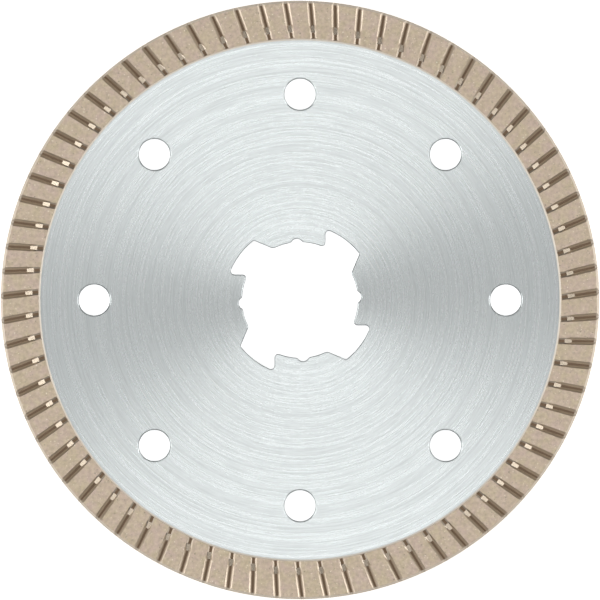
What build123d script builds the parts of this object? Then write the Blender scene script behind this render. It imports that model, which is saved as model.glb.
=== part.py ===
"""Diamond blade for an angle grinder: a thin steel core with a star-shaped quick-change bore, and a
continuous turbo rim of sintered bronze bond that holds diamond crystals.

Frame: millimetres. The blade lies flat. The origin is on the spin axis at mid-thickness. +Z is the spin
axis, pointing out of the front face. Angles called clock angles run clockwise from +Y, seen from the front.
"""
import os
import random
from math import cos, radians, sin, sqrt

from build123d import *

# ---------------------------------------------------------------- whole blade
BLADE_D = 115.0             # outer diameter, over the diamonds in the cutting edge
BLADE_THICK = 1.6           # thickness of the rim, over the diamonds in its faces
DIAMOND_PROUD = 0.05        # how far the tallest diamonds stand out of the bond
QUARTERS = 4                # the bore repeats every quarter turn

# ---------------------------------------------------------------- steel core
CORE_THICK = 1.0
TONGUE_THICK = 0.9          # the core is ground thinner where the rim is sintered around it
CORE_R = 51.7               # edge of that tongue
KEY_COUNT = 30              # half-round notches in the tongue, filled with bond
KEY_R = 0.9
HOLE_COUNT = 8              # round cooling holes
HOLE_D = 6.0
HOLE_CIRCLE_D = 79.0
HOLE_BREAK = 0.25           # chamfer on both edges of each hole

# ---------------------------------------------------------------- star bore
BORE_R = 11.115             # the four centring arcs lie on a 22.23 mm circle
LOBE_R = 14.45              # outer arc of each drive lobe
HOOK_OFFSET = 4.88          # straight driving side, measured from the lobe's quarter axis
TAPER_TOP = 52.2            # clock angle where the tapered side leaves the lobe arc
TAPER_FOOT = 62.4           # clock angle where it meets the centring arc
HOOK_ROUND = 0.7            # both corners of the driving side
TAPER_TOP_ROUND = 0.35
TAPER_FOOT_ROUND = 0.8
NOTCH_AT = -3.2             # clock angle of the small round notch
NOTCH_R = 1.2
NOTCH_TOP_R = 11.78         # furthest reach of the notch from the spin axis
NOTCH_ROUND = 0.6           # corners at the notch's mouth
BORE_BREAK = 0.18           # chamfer on both edges of the bore

# ---------------------------------------------------------------- sintered rim
RIM_HEIGHT = 7.65
EDGE_BEVEL = 0.42           # bevel between each face and the cutting edge
FOOT_BEVEL_RUN = 0.32       # bevel between each face and the core, radially
FOOT_STEP = 0.05            # upright flank at the foot of that bevel

# ---------------------------------------------------------------- turbo grooves
GROOVE_COUNT = 75           # on each face
GROOVE_TILT = 7.5           # degrees from the radial direction
PITCH_R = 54.45             # radius at which the tilt and the clock angle are measured
FIRST_GROOVE_AT = 2.35      # clock angle of the first groove's centre line at PITCH_R
RAMP_OUTER_R = 52.74        # the deep part of the groove ends here, and the ramp starts
RAMP_INNER_R = 51.40        # the ramp ends here, and the shallow part starts
GROOVE_END_R = 50.22        # the shallow part stops short of the foot bevel
GROOVE_END_RUN = 0.10       # run of the sloping wall at its end

# Each section is mouth width, floor width and depth below the rim's ground face.
DEEP_OUTER_SECTION = (1.43, 0.31, 0.51)
DEEP_INNER_SECTION = (1.40, 0.44, 0.46)
RAMP_OUTER_SECTION = (1.40, 0.62, 0.44)
RAMP_INNER_SECTION = (1.27, 0.80, 0.14)
SHALLOW_SECTION = (1.18, 0.54, 0.22)

# ---------------------------------------------------------------- diamonds
CRYSTAL_SIZES = (0.42, 0.48, 0.54)      # from tip to tip
FACE_BAND = (52.5, 56.3)    # radii between which they lie, clear of the tongue and the edge bevel
LAND_HALF_WIDTH = 1.0       # how far they may lie to either side of the land's middle
EDGE_HALF_WIDTH = 0.1       # how far those in the cutting edge may lie from mid-thickness
SEED = 11                   # the scatter is the same on every run

# ---------------------------------------------------------------- worked out
BOND_R = BLADE_D / 2 - DIAMOND_PROUD
BOND_HALF = BLADE_THICK / 2 - DIAMOND_PROUD
CORE_HALF = CORE_THICK / 2
TONGUE_HALF = TONGUE_THICK / 2
RIM_INNER_R = BLADE_D / 2 - RIM_HEIGHT
PITCH = 360 / GROOVE_COUNT
LIFT = 0.02                 # how far each groove cutter reaches above the face it cuts


def polar(radius, clock):
    """The point at a radius and a clock angle."""
    return (radius * sin(radians(clock)), radius * cos(radians(clock)))


def turned(shape, clock):
    """A copy of the shape, turned clockwise about the spin axis."""
    return Rot(0, 0, -clock) * shape


def quarter_copies(shape):
    """The shape at each quarter turn."""
    return [turned(shape, 360 / QUARTERS * i) for i in range(QUARTERS)]


def round_corners(outline, radius, place):
    """Round the corner of the outline nearest to a place, and its quarter-turn copies."""
    corners = []
    for spot in quarter_copies(Vertex(*place, 0)):
        corners.append(min(outline.vertices(), key=lambda corner: corner.distance_to(spot)))
    return fillet(corners, radius)


# ================================================================ steel core
def star_bore():
    """The bore's outline: a centring circle, four hooked drive lobes and four small round notches."""
    top_x, top_y = polar(LOBE_R, TAPER_TOP)
    foot_x, foot_y = polar(BORE_R, TAPER_FOOT)
    step_x, step_y = (top_x - foot_x) / 2, (top_y - foot_y) / 2
    wedge = Polygon(
        (HOOK_OFFSET, HOOK_OFFSET),
        (foot_x - step_x, foot_y - step_y),
        (top_x + step_x, top_y + step_y),
        (top_x + step_x, LOBE_R + 1),
        (HOOK_OFFSET, LOBE_R + 1),
        align=None,
    )
    lobe = wedge & Circle(LOBE_R)
    notch = Pos(*polar(NOTCH_TOP_R - NOTCH_R, NOTCH_AT)) * Circle(NOTCH_R)
    outline = Circle(BORE_R) + quarter_copies(lobe) + quarter_copies(notch)

    hook_foot_y = sqrt(BORE_R**2 - HOOK_OFFSET**2)
    hook_top_y = sqrt(LOBE_R**2 - HOOK_OFFSET**2)
    outline = round_corners(outline, HOOK_ROUND, (HOOK_OFFSET, hook_foot_y))
    outline = round_corners(outline, HOOK_ROUND, (HOOK_OFFSET, hook_top_y))
    outline = round_corners(outline, TAPER_TOP_ROUND, (top_x, top_y))
    outline = round_corners(outline, TAPER_FOOT_ROUND, (foot_x, foot_y))
    for side in (-1, 1):
        mouth = polar(BORE_R, NOTCH_AT + side * 6)
        outline = round_corners(outline, NOTCH_ROUND, mouth)
    return outline


def steel_core():
    """The core disc, with its bore, its cooling holes and the keyed tongue that runs inside the rim."""
    disc = Circle(RIM_INNER_R) - star_bore()
    disc -= PolarLocations(HOLE_CIRCLE_D / 2, HOLE_COUNT) * Circle(HOLE_D / 2)
    tongue = Circle(CORE_R) - Circle(RIM_INNER_R - CORE_THICK)
    tongue -= PolarLocations(CORE_R, KEY_COUNT) * Circle(KEY_R)
    core = extrude(disc, CORE_HALF, both=True) + extrude(tongue, TONGUE_HALF, both=True)

    def reach(edge):
        middle = edge.center()
        return sqrt(middle.X**2 + middle.Y**2)

    face_edges = [edge for edge in core.edges() if abs(edge.bounding_box().size.Z) < 1e-6]
    hole_edges = [edge for edge in face_edges if LOBE_R + 1 < reach(edge) < HOLE_CIRCLE_D / 2 + HOLE_D]
    core = chamfer(hole_edges, HOLE_BREAK)
    face_edges = [edge for edge in core.edges() if abs(edge.bounding_box().size.Z) < 1e-6]
    bore_edges = [edge for edge in face_edges if reach(edge) < LOBE_R + 1 and edge.length < 2 * LOBE_R]
    return chamfer(bore_edges, BORE_BREAK)


# ================================================================ sintered rim
def plain_ring():
    """The rim before grooving: a ring with a bevelled cutting edge and a bevelled foot on each face."""
    upper = [
        (RIM_INNER_R, CORE_HALF + FOOT_STEP),
        (RIM_INNER_R + FOOT_BEVEL_RUN, BOND_HALF),
        (BOND_R - EDGE_BEVEL, BOND_HALF),
        (BOND_R, BOND_HALF - EDGE_BEVEL),
    ]
    lower = [(radius, -height) for radius, height in reversed(upper)]
    profile = Plane.XZ * Polygon(*upper, *lower, align=None)
    return revolve(profile, Axis.Z)


def along_groove(radius):
    """Distance along a groove's centre line, outwards from PITCH_R, at which it is at a radius."""
    tilt = radians(GROOVE_TILT)
    return sqrt(radius**2 - (PITCH_R * sin(tilt)) ** 2) - PITCH_R * cos(tilt)


def groove_section(distance, section, lean=0):
    """Corners of the groove's cross-section, raised by LIFT above the face. A lean tilts it, floor outwards."""
    mouth, floor, depth = section
    rise = LIFT / depth
    top = mouth / 2 + (mouth - floor) / 2 * rise
    top_x = distance - lean * rise
    floor_x = distance + lean
    return [
        (top_x, -top, BOND_HALF + LIFT),
        (floor_x, -floor / 2, BOND_HALF - depth),
        (floor_x, floor / 2, BOND_HALF - depth),
        (top_x, top, BOND_HALF + LIFT),
    ]


def flat_sided(inner, outer):
    """A solid between two cross-sections. A side that two straight edges would twist is two flat triangles."""
    faces = [Face(Wire.make_polygon(corners)) for corners in (inner, outer)]
    for side in range(len(inner)):
        after = (side + 1) % len(inner)
        faces.append(Face(Wire.make_polygon([inner[side], inner[after], outer[after]])))
        faces.append(Face(Wire.make_polygon([inner[side], outer[after], outer[side]])))
    return Solid(Shell(faces))


def groove_cutter():
    """One front groove as a solid, on the +X side: deep part, ramp, then shallow part with an end wall."""
    ramp_outer = along_groove(RAMP_OUTER_R)
    ramp_inner = along_groove(RAMP_INNER_R)
    end = along_groove(GROOVE_END_R)
    past_edge = along_groove(BOND_R) + 1
    deep = flat_sided(
        groove_section(ramp_outer, DEEP_INNER_SECTION), groove_section(past_edge, DEEP_OUTER_SECTION)
    )
    ramp = flat_sided(
        groove_section(ramp_inner, RAMP_INNER_SECTION), groove_section(ramp_outer, RAMP_OUTER_SECTION)
    )
    shallow = flat_sided(
        groove_section(end, SHALLOW_SECTION, lean=GROOVE_END_RUN), groove_section(ramp_inner, SHALLOW_SECTION)
    )
    cutter = (Part() + deep + ramp + shallow).clean()
    return Pos(PITCH_R, 0, 0) * Rot(0, 0, GROOVE_TILT) * cutter


def groove_clock(index, side):
    """Clock angle of a groove at PITCH_R. The back face's grooves lie midway between the front's."""
    stagger = 0 if side > 0 else PITCH / 2
    return FIRST_GROOVE_AT + stagger + PITCH * index


def all_grooves():
    """Every groove cutter, on both faces."""
    front = turned(groove_cutter(), -90)
    back = mirror(front, about=Plane.XY)
    cutters = []
    for index in range(GROOVE_COUNT):
        cutters.append(turned(front, groove_clock(index, 1)))
        cutters.append(turned(back, groove_clock(index, -1)))
    return cutters


# ================================================================ diamonds
def master_crystal(size):
    """An octahedron, the shape that a synthetic diamond grows towards, with its tips on the axes."""
    crystal = Box(2 * size, 2 * size, 2 * size)
    stand_off = size / 6
    for x in (-1, 1):
        for y in (-1, 1):
            for z in (-1, 1):
                cut = Plane(origin=(x * stand_off, y * stand_off, z * stand_off), z_dir=(x, y, z))
                crystal = split(crystal, bisect_by=cut, keep=Keep.BOTTOM)
    return crystal


def tumbled(crystals, scatter):
    """A random crystal, turned at random, with its highest point at z = 0."""
    turns = [scatter.uniform(0, 90) for _ in range(3)]
    crystal = Rot(*turns) * scatter.choice(crystals)
    return Pos(0, 0, -crystal.bounding_box().max.Z) * crystal


def face_crystals(crystals, side, scatter):
    """A crystal somewhere on each land of one face, standing a little proud of it."""
    placed = []
    inner, outer = (along_groove(radius) for radius in FACE_BAND)
    for index in range(GROOVE_COUNT):
        along = scatter.uniform(inner, outer)
        across = scatter.uniform(-LAND_HALF_WIDTH, LAND_HALF_WIDTH)
        proud = DIAMOND_PROUD * scatter.uniform(0.4, 1)
        crystal = Pos(along, across, BOND_HALF + proud) * tumbled(crystals, scatter)
        crystal = Pos(PITCH_R, 0, 0) * Rot(0, 0, GROOVE_TILT) * crystal
        if side < 0:
            crystal = mirror(crystal, about=Plane.XY)
        placed.append(turned(crystal, groove_clock(index + 0.5, side) - 90))
    return placed


def edge_crystals(crystals, scatter):
    """A crystal in the cutting edge for each groove, between the mouths of a front and a back groove."""
    placed = []
    edge_shift = GROOVE_TILT * along_groove(BOND_R) / BOND_R
    for index in range(GROOVE_COUNT):
        proud = DIAMOND_PROUD * scatter.uniform(0.6, 1)
        height = scatter.uniform(-EDGE_HALF_WIDTH, EDGE_HALF_WIDTH)
        crystal = Rot(0, 90, 0) * tumbled(crystals, scatter)
        crystal = Pos(BOND_R + proud, 0, height) * crystal
        placed.append(turned(crystal, groove_clock(index + 0.25, 1) - edge_shift - 90))
    return placed


# ================================================================ assembly
def build():
    """Every node of the blade, by name."""
    scatter = random.Random(SEED)
    crystals = [master_crystal(size) for size in CRYSTAL_SIZES]
    front = face_crystals(crystals, 1, scatter)
    back = face_crystals(crystals, -1, scatter)
    edge = edge_crystals(crystals, scatter)

    core = steel_core()
    rim = plain_ring().cut(core, *all_grooves(), *front, *back, *edge)
    return {
        "steel_core": core,
        "sintered_rim": rim,
        "diamonds_front_face": Compound(front),
        "diamonds_back_face": Compound(back),
        "diamonds_cutting_edge": Compound(edge),
    }


os.makedirs("parts", exist_ok=True)
for node, shape in build().items():
    export_step(shape, f"parts/{node}.step")
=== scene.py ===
"""Looks for the diamond blade: brushed steel core, sintered bronze rim, diamond crystals, a pale floor,
soft studio light and a camera straight above the front face. Lengths are metres, except where a name ends
in _MM or the line above says millimetres."""
import random
from math import cos, pi, radians, sin

import bpy
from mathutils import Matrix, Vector


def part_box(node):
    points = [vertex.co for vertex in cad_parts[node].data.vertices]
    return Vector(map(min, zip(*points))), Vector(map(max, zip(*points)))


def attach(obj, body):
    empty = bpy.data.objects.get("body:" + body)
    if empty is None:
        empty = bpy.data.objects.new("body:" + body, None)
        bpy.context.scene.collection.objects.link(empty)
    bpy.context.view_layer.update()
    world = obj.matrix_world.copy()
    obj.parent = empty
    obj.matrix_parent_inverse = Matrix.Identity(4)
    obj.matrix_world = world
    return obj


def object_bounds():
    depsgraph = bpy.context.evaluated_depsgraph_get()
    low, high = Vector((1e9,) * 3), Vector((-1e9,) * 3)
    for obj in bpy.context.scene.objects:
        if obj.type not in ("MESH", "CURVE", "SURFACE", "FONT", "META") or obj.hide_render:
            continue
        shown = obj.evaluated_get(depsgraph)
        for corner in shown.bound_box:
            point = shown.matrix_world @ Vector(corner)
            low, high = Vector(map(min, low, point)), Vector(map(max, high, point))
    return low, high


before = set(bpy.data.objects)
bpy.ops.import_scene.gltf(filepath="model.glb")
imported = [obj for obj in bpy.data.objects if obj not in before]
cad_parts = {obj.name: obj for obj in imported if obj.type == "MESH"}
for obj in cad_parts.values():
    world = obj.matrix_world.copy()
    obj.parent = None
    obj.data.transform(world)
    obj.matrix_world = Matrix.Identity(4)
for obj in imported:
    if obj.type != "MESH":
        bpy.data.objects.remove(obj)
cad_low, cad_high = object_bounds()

MM = 0.001

# ---------------------------------------------------------------- places read from the frame
_, rim_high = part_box("sintered_rim")
_, core_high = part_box("steel_core")
BLADE_R = max(cad_high.x, cad_high.y)
FLOOR_Z = cad_low.z
RIM_TOP_MM = rim_high[2] / MM
CORE_TOP_MM = core_high[2] / MM

# ---------------------------------------------------------------- core's hole and bore edges: depth and reach of the painted shade line along their foot, millimetres
BORE_SHADE_DEPTH = 0.09
HOLE_SHADE_DEPTH = 0.14
BORE_REACH = 15.0
HOLE_REACH = 20.0

# ---------------------------------------------------------------- rim's zones by radius, millimetres
FOOT_EDGE = (50.3, 50.4)
GROOVE_START = (50.20, 50.25)
POCKET_END = (51.35, 51.45)
GROOVE_END = (56.9, 57.0)

# ---------------------------------------------------------------- how level a rim face is, 1 being flat
FLAT_LEVEL = (0.985, 0.995)
RAMP_LEVEL = (0.945, 0.955)

# ---------------------------------------------------------------- depth below the lands, millimetres
BELOW_LAND = (0.03, 0.01)

# ---------------------------------------------------------------- grooves and grit, millimetres and degrees
GROOVE_COUNT = 75
PITCH = 360 / GROOVE_COUNT
PITCH_R = 54.45
GROOVE_TILT = 7.5
FIRST_GROOVE_AT = 2.35
GRIT_PER_LAND = 9
GRIT_ALONG = (-3.3, 1.9)
GRIT_ACROSS = (-1.3, 1.3)
GRIT_REACH = (0.05, 0.12)
GRIT_RISE = (0.1, 0.35)

# ---------------------------------------------------------------- colours, linear
STEEL_DARK = (0.72, 0.76, 0.76, 1)
STEEL_LIGHT = (0.94, 0.99, 0.99, 1)
# painted shade: near black along the foot of the hole and bore chamfers, standing in for the shade at those
# edges
PAINTED_EDGE_SHADE = (0.06, 0.065, 0.07, 1)
BOND_GREENISH = (0.625, 0.525, 0.37, 1)
BOND_PINKISH = (0.645, 0.51, 0.43, 1)
BOND_SHADE = (0.50, 0.415, 0.31, 1)
BOND_LIGHT = (0.75, 0.64, 0.50, 1)
BOND_SPECK = (0.95, 0.88, 0.76, 1)
BOND_PORE = (0.30, 0.25, 0.19, 1)
BEVEL_SKIN = (0.69, 0.605, 0.50, 1)
FOOT_SKIN = (0.95, 0.87, 0.76, 1)
RAMP_SKIN = (0.56, 0.475, 0.375, 1)
GROOVE_SKIN = (0.55, 0.47, 0.38, 1)
# painted shade: the groove floors are darkened for the shade deep in the narrow grooves, the shallow pocket
# a little less
PAINTED_GROOVE_SHADE = (0.22, 0.155, 0.105, 1)
PAINTED_POCKET_SHADE = (0.32, 0.23, 0.155, 1)
DIAMOND_DEEP = (0.86, 0.80, 0.58, 1)
DIAMOND_PALE = (0.95, 0.93, 0.82, 1)
FLOOR_WHITE = (0.93, 0.93, 0.93, 1)
WHITE = (1, 1, 1, 1)

# ---------------------------------------------------------------- room and camera
HORIZON_GLOW = 0.16
OVERHEAD_GLOW = 0.02
FRAME_MARGIN = 600 / 599


# ================================================================ node helpers
class Shader:
    """A material's node tree, with short calls to add nodes to it."""

    def __init__(self, name):
        self.material = bpy.data.materials.new(name)
        self.material.use_nodes = True
        self.tree = self.material.node_tree
        self.tree.nodes.clear()

    def add(self, kind, inputs=None, **settings):
        """Add a node. An input's value is a plain value or another node's output socket."""
        made = self.tree.nodes.new(kind)
        for name, value in settings.items():
            setattr(made, name, value)
        for key, value in (inputs or {}).items():
            self.set(made.inputs[key], value)
        return made

    def set(self, socket, value):
        if isinstance(value, bpy.types.NodeSocket):
            self.tree.links.new(value, socket)
        else:
            socket.default_value = value

    def maths(self, operation, first, second=0.0, third=0.0):
        return self.add("ShaderNodeMath", {0: first, 1: second, 2: third}, operation=operation).outputs[0]

    def ramp(self, value, low, high, to_low=0.0, to_high=1.0):
        """value mapped from low..high to to_low..to_high, held at the ends."""
        inputs = {"Value": value, "From Min": low, "From Max": high, "To Min": to_low, "To Max": to_high}
        return self.add("ShaderNodeMapRange", inputs, clamp=True).outputs[0]

    def blend(self, share, first, second):
        """Colours mixed by a share from 0 to 1."""
        made = self.add("ShaderNodeMix", data_type="RGBA")
        colours = [socket for socket in made.inputs if socket.type == "RGBA"]
        self.set(made.inputs["Factor"], share)
        self.set(colours[0], first)
        self.set(colours[1], second)
        return [socket for socket in made.outputs if socket.type == "RGBA"][0]

    def noise(self, vector, scale, detail, roughness):
        inputs = {"Vector": vector, "Scale": scale, "Detail": detail, "Roughness": roughness}
        return self.add("ShaderNodeTexNoise", inputs).outputs[0]

    def mixed(self, *parts):
        """Sum of values, each with its share."""
        total = 0.0
        for value, share in parts:
            total = self.maths("MULTIPLY_ADD", value, share, third=total)
        return total

    def bump(self, height, distance, strength):
        inputs = {"Height": height, "Distance": distance, "Strength": strength}
        return self.add("ShaderNodeBump", inputs).outputs[0]

    def shifted(self, vector, distance):
        """The same place, moved far off, so that its noise differs."""
        return self.add("ShaderNodeVectorMath", {0: vector, 1: (distance,) * 3}, operation="ADD").outputs[0]

    def position_mm(self):
        """Position on the object, in millimetres from the spin axis at mid-thickness."""
        place = self.add("ShaderNodeTexCoord").outputs["Object"]
        scaled = self.add("ShaderNodeVectorMath", {0: place, 1: (1 / MM,) * 3}, operation="MULTIPLY")
        return scaled.outputs[0]

    def around_axis(self, place):
        """(distance from the spin axis, x and y of the unit direction, height) of a position."""
        parts = self.add("ShaderNodeSeparateXYZ", {0: place}).outputs
        flat = self.add("ShaderNodeCombineXYZ", {0: parts[0], 1: parts[1]}).outputs[0]
        reach = self.add("ShaderNodeVectorMath", {0: flat}, operation="LENGTH").outputs["Value"]
        return reach, self.maths("DIVIDE", parts[0], reach), self.maths("DIVIDE", parts[1], reach), parts[2]

    def arcs(self, around, across, along, offset):
        """Noise drawn out into arcs about the spin axis.

        across is its scale per millimetre of radius, along its scale per unit of direction."""
        reach, x, y, _ = around
        inputs = {
            0: self.maths("MULTIPLY_ADD", reach, across, offset),
            1: self.maths("MULTIPLY_ADD", x, along, offset),
            2: self.maths("MULTIPLY_ADD", y, along, offset),
        }
        vector = self.add("ShaderNodeCombineXYZ", inputs).outputs[0]
        return self.noise(vector, 1.0, 2.0, 0.6)

    def surface(self, **inputs):
        """Finish the material with a Principled shader. Names use underscores for spaces."""
        named = {name.replace("_", " "): value for name, value in inputs.items()}
        shader = self.add("ShaderNodeBsdfPrincipled", named)
        output = self.add("ShaderNodeOutputMaterial")
        self.tree.links.new(shader.outputs[0], output.inputs["Surface"])
        return self.material


# ================================================================ materials
def brushed_steel():
    """Core steel: faces brushed in circles about the spin axis, with a painted shade line, near black,
    along the foot of the hole and bore edges.
    """
    shader = Shader("brushed_core_steel")
    around = shader.around_axis(shader.position_mm())
    rings = shader.arcs(around, across=4.0, along=0.0, offset=0.4)
    dashes = shader.arcs(around, across=4.0, along=8.0, offset=40.4)
    hairs = shader.arcs(around, across=8.0, along=5.0, offset=80.4)
    streaks = shader.mixed((rings, 0.52), (dashes, 0.40), (hairs, 0.08))

    height = shader.maths("ABSOLUTE", around[3])
    # painted shade: below this height the hole and bore edges are coloured near black
    bore_shade_line, hole_shade_line = CORE_TOP_MM - BORE_SHADE_DEPTH, CORE_TOP_MM - HOLE_SHADE_DEPTH
    shade_line = shader.ramp(around[0], BORE_REACH, HOLE_REACH, bore_shade_line, hole_shade_line)
    edge_shade = shader.ramp(shader.maths("SUBTRACT", height, shade_line), -0.01, 0.01, 1.0, 0.0)
    chamfer = shader.ramp(height, CORE_TOP_MM - 0.02, CORE_TOP_MM - 0.005, 1.0, 0.0)

    colour = shader.blend(shader.ramp(streaks, 0.38, 0.62), STEEL_DARK, STEEL_LIGHT)
    colour = shader.blend(edge_shade, colour, PAINTED_EDGE_SHADE)
    roughness = shader.ramp(streaks, 0.38, 0.62, 0.30, 0.26)
    roughness = shader.mixed((roughness, 1.0), (chamfer, 0.2), (edge_shade, 0.15))
    normal = shader.bump(hairs, 0.004 * MM, 0.1)
    tangent = shader.add("ShaderNodeTangent", direction_type="RADIAL", axis="Z").outputs[0]
    return shader.surface(
        Base_Color=colour, Metallic=1.0, Roughness=roughness, Anisotropic=0.8,
        Anisotropic_Rotation=0.25, Normal=normal, Tangent=tangent,
    )


def bronze_bond():
    """Sintered bronze: ground lands, painted shade on the groove floors, mottled powder grain and pores."""
    shader = Shader("sintered_bronze_bond")
    place = shader.position_mm()
    around = shader.around_axis(place)
    reach = around[0]
    height = shader.maths("ABSOLUTE", around[3])
    true_normal = shader.add("ShaderNodeNewGeometry").outputs["True Normal"]
    facing = shader.add("ShaderNodeSeparateXYZ", {0: true_normal}).outputs[2]
    level = shader.maths("ABSOLUTE", facing)
    flat = shader.ramp(level, *FLAT_LEVEL)
    shelving = shader.maths("SUBTRACT", shader.ramp(level, *RAMP_LEVEL), flat)

    sunk = shader.ramp(height, RIM_TOP_MM - BELOW_LAND[0], RIM_TOP_MM - BELOW_LAND[1], 1.0, 0.0)
    inboard = shader.ramp(reach, *GROOVE_START)
    outboard = shader.ramp(reach, *GROOVE_END, 1.0, 0.0)
    groove = shader.maths("MULTIPLY", sunk, shader.maths("MULTIPLY", inboard, outboard))
    floor = shader.maths("MULTIPLY", flat, groove)
    slide = shader.maths("MULTIPLY", shelving, groove)
    pocket = shader.maths("MULTIPLY", groove, shader.ramp(reach, *POCKET_END, 1.0, 0.0))
    bevel = shader.maths("SUBTRACT", sunk, groove)
    foot = shader.maths("MULTIPLY", bevel, shader.ramp(reach, *FOOT_EDGE, 1.0, 0.0))

    tint = shader.noise(place, scale=0.55, detail=4.0, roughness=0.6)
    mottle = shader.noise(place, scale=1.5, detail=3.0, roughness=0.6)
    grain = shader.noise(place, scale=6.0, detail=2.0, roughness=0.6)
    speck = shader.noise(place, scale=2.6, detail=1.0, roughness=0.5)
    pore = shader.noise(shader.shifted(place, 50.0), scale=2.2, detail=1.0, roughness=0.5)

    colour = shader.blend(shader.ramp(tint, 0.35, 0.65), BOND_GREENISH, BOND_PINKISH)
    colour = shader.blend(shader.ramp(mottle, 0.50, 0.72, 0.0, 0.6), colour, BOND_LIGHT)
    colour = shader.blend(shader.ramp(mottle, 0.50, 0.30, 0.0, 0.6), colour, BOND_SHADE)
    colour = shader.blend(shader.ramp(speck, 0.68, 0.74, 0.0, 0.8), colour, BOND_SPECK)
    colour = shader.blend(shader.ramp(pore, 0.70, 0.76, 0.0, 0.7), colour, BOND_PORE)
    colour = shader.blend(bevel, colour, BEVEL_SKIN)
    colour = shader.blend(foot, colour, FOOT_SKIN)
    colour = shader.blend(groove, colour, GROOVE_SKIN)
    # painted shade on the groove floors, a little lighter in the shallow pocket
    colour = shader.blend(floor, colour, PAINTED_GROOVE_SHADE)
    colour = shader.blend(shader.maths("MULTIPLY", floor, pocket), colour, PAINTED_POCKET_SHADE)
    colour = shader.blend(slide, colour, RAMP_SKIN)

    roughness = shader.ramp(mottle, 0.3, 0.7, 0.52, 0.46)
    roughness = shader.ramp(groove, 0.0, 1.0, roughness, 0.35)
    roughness = shader.mixed((roughness, 1.0), (bevel, 0.10), (floor, 0.22), (slide, -0.10), (pocket, 0.15))
    metal = shader.mixed((bevel, -0.55), (foot, -0.15), (groove, 0.1), (1.0, 0.9))
    normal = shader.bump(grain, 0.012 * MM, shader.ramp(groove, 0.0, 1.0, 0.3, 0.0))
    return shader.surface(Base_Color=colour, Metallic=metal, Roughness=roughness, Normal=normal)


def diamond():
    """Synthetic diamond grit: pale yellow, glassy, a little cloudy."""
    shader = Shader("diamond_grit")
    cloud = shader.noise(shader.position_mm(), scale=3.0, detail=2.0, roughness=0.5)
    colour = shader.blend(cloud, DIAMOND_DEEP, DIAMOND_PALE)
    roughness = shader.ramp(cloud, 0.3, 0.7, 0.08, 0.25)
    return shader.surface(Base_Color=colour, Metallic=0.0, Roughness=roughness, IOR=2.0)


# ================================================================ fine grit
def land_place(index, along, across):
    """x and y of a place on the land after a groove, in millimetres along and across that land."""
    turn = radians(90 - FIRST_GROOVE_AT - PITCH * (index + 0.5))
    lean = radians(GROOVE_TILT)
    x = PITCH_R + along * cos(lean) - across * sin(lean)
    y = along * sin(lean) + across * cos(lean)
    return x * cos(turn) - y * sin(turn), x * sin(turn) + y * cos(turn)


def fine_grit(name, side, material):
    """Small crystal tips that break the surface of one face's lands."""
    scatter = random.Random(name)
    shift = 0 if side > 0 else 0.5
    corners = []
    faces = []
    for index in range(GROOVE_COUNT):
        for _ in range(GRIT_PER_LAND):
            along = scatter.uniform(*GRIT_ALONG)
            x, y = land_place(index + shift, along, scatter.uniform(*GRIT_ACROSS))
            reach = scatter.uniform(*GRIT_REACH)
            turn = scatter.uniform(0, pi / 2)
            tip = RIM_TOP_MM + reach * scatter.uniform(*GRIT_RISE)
            first = len(corners)
            for point in range(4):
                angle = turn + point * pi / 2
                corners.append((x + reach * cos(angle), y + reach * sin(angle), tip - reach))
            corners.append((x, y, tip))
            for point in range(4):
                faces.append((first + point, first + (point + 1) % 4, first + 4))
    mesh = bpy.data.meshes.new(name)
    mesh.from_pydata([(x * MM, y * MM, side * z * MM) for x, y, z in corners], [], faces)
    if side < 0:
        mesh.flip_normals()
    mesh.materials.append(material)
    grit = bpy.data.objects.new(name, mesh)
    bpy.context.collection.objects.link(grit)
    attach(grit, "root")


def dress(node, material):
    """Give a CAD node a finished material."""
    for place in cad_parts[node].material_slots:
        place.material = material


# ================================================================ stage
def pale_floor():
    """A plain white floor, level with the lowest point of the blade."""
    size = 30 * BLADE_R
    mesh = bpy.data.meshes.new("floor")
    corners = [(-size, -size), (size, -size), (size, size), (-size, size)]
    mesh.from_pydata([(x, y, FLOOR_Z) for x, y in corners], [], [(0, 1, 2, 3)])
    floor = bpy.data.objects.new("floor", mesh)
    bpy.context.collection.objects.link(floor)
    shader = Shader("pale_floor")
    mesh.materials.append(shader.surface(
        Base_Color=FLOOR_WHITE, Roughness=0.9, Emission_Color=WHITE, Emission_Strength=0.6,
    ))
    shader.material.cycles.emission_sampling = "NONE"


def softbox(name, clock, elevation, distance, width, depth, power):
    """A white area light aimed at the blade. clock runs clockwise from +Y, elevation is above the floor."""
    light = bpy.data.lights.new(name, "AREA")
    light.shape = "RECTANGLE"
    light.size, light.size_y = width, depth
    light.energy = power
    box = bpy.data.objects.new(name, light)
    level = cos(radians(elevation)) * distance
    height = sin(radians(elevation)) * distance
    box.location = (level * sin(radians(clock)), level * cos(radians(clock)), height)
    box.rotation_euler = Vector(box.location).to_track_quat("Z", "Y").to_euler()
    box.visible_camera = False
    bpy.context.collection.objects.link(box)


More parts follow.
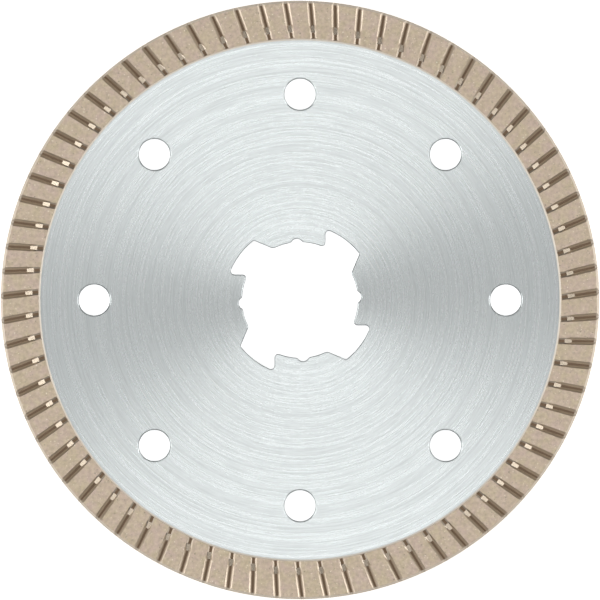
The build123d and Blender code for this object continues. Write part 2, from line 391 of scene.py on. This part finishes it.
def studio():
    """Soft light: a ceiling, a bank high over each end, two strips a side and one at the bottom end."""
    softbox("ceiling", 0, 90, 1.2, 0.5, 0.5, 0.33)
    softbox("bank_top", -4, 73.5, 1.0, 1.2, 0.25, 1.74)
    softbox("bank_bottom", 175, 73.5, 1.0, 1.2, 0.25, 1.96)
    softbox("strip_left", 268, 16, 0.8, 0.6, 0.26, 2.70)
    softbox("strip_right", 88, 16, 0.8, 0.6, 0.26, 2.70)
    softbox("high_strip_left", 268, 60, 0.9, 0.5, 0.08, 0.54)
    softbox("high_strip_right", 88, 60, 0.9, 0.5, 0.08, 0.28)
    softbox("strip_bottom", 180, 25, 0.8, 0.6, 0.2, 0.46)
    surroundings()


def surroundings():
    """A dim room, lighter towards the horizon."""
    world = bpy.data.worlds.new("studio")
    world.use_nodes = True
    tree = world.node_tree
    direction = tree.nodes.new("ShaderNodeTexCoord").outputs["Generated"]
    parts = tree.nodes.new("ShaderNodeSeparateXYZ")
    glow = tree.nodes.new("ShaderNodeMapRange")
    climb = {"From Min": 0.3, "From Max": 0.75, "To Min": HORIZON_GLOW, "To Max": OVERHEAD_GLOW}
    for name, value in climb.items():
        glow.inputs[name].default_value = value
    tree.links.new(direction, parts.inputs[0])
    tree.links.new(parts.outputs["Z"], glow.inputs["Value"])
    background = tree.nodes["Background"]
    background.inputs["Color"].default_value = WHITE
    tree.links.new(glow.outputs[0], background.inputs["Strength"])
    world.cycles.sampling_method = "NONE"
    bpy.context.scene.world = world


def camera():
    """Straight above the front face, with parallel lines of sight, and the blade just inside the frame."""
    lens = bpy.data.cameras.new("camera")
    lens.type = "ORTHO"
    lens.ortho_scale = 2 * BLADE_R * FRAME_MARGIN
    lens.clip_start, lens.clip_end = 0.01, 10
    eye = bpy.data.objects.new("camera", lens)
    eye.location = (0, 0, 1.0)
    bpy.context.collection.objects.link(eye)
    bpy.context.scene.camera = eye


# ================================================================ making
camera()
studio()
pale_floor()
dress("steel_core", brushed_steel())
dress("sintered_rim", bronze_bond())
grit = diamond()
for node in ("diamonds_front_face", "diamonds_back_face", "diamonds_cutting_edge"):
    dress(node, grit)
fine_grit("fine_grit_front", 1, grit)
fine_grit("fine_grit_back", -1, grit)
bpy.context.scene.view_settings.view_transform = "Standard"
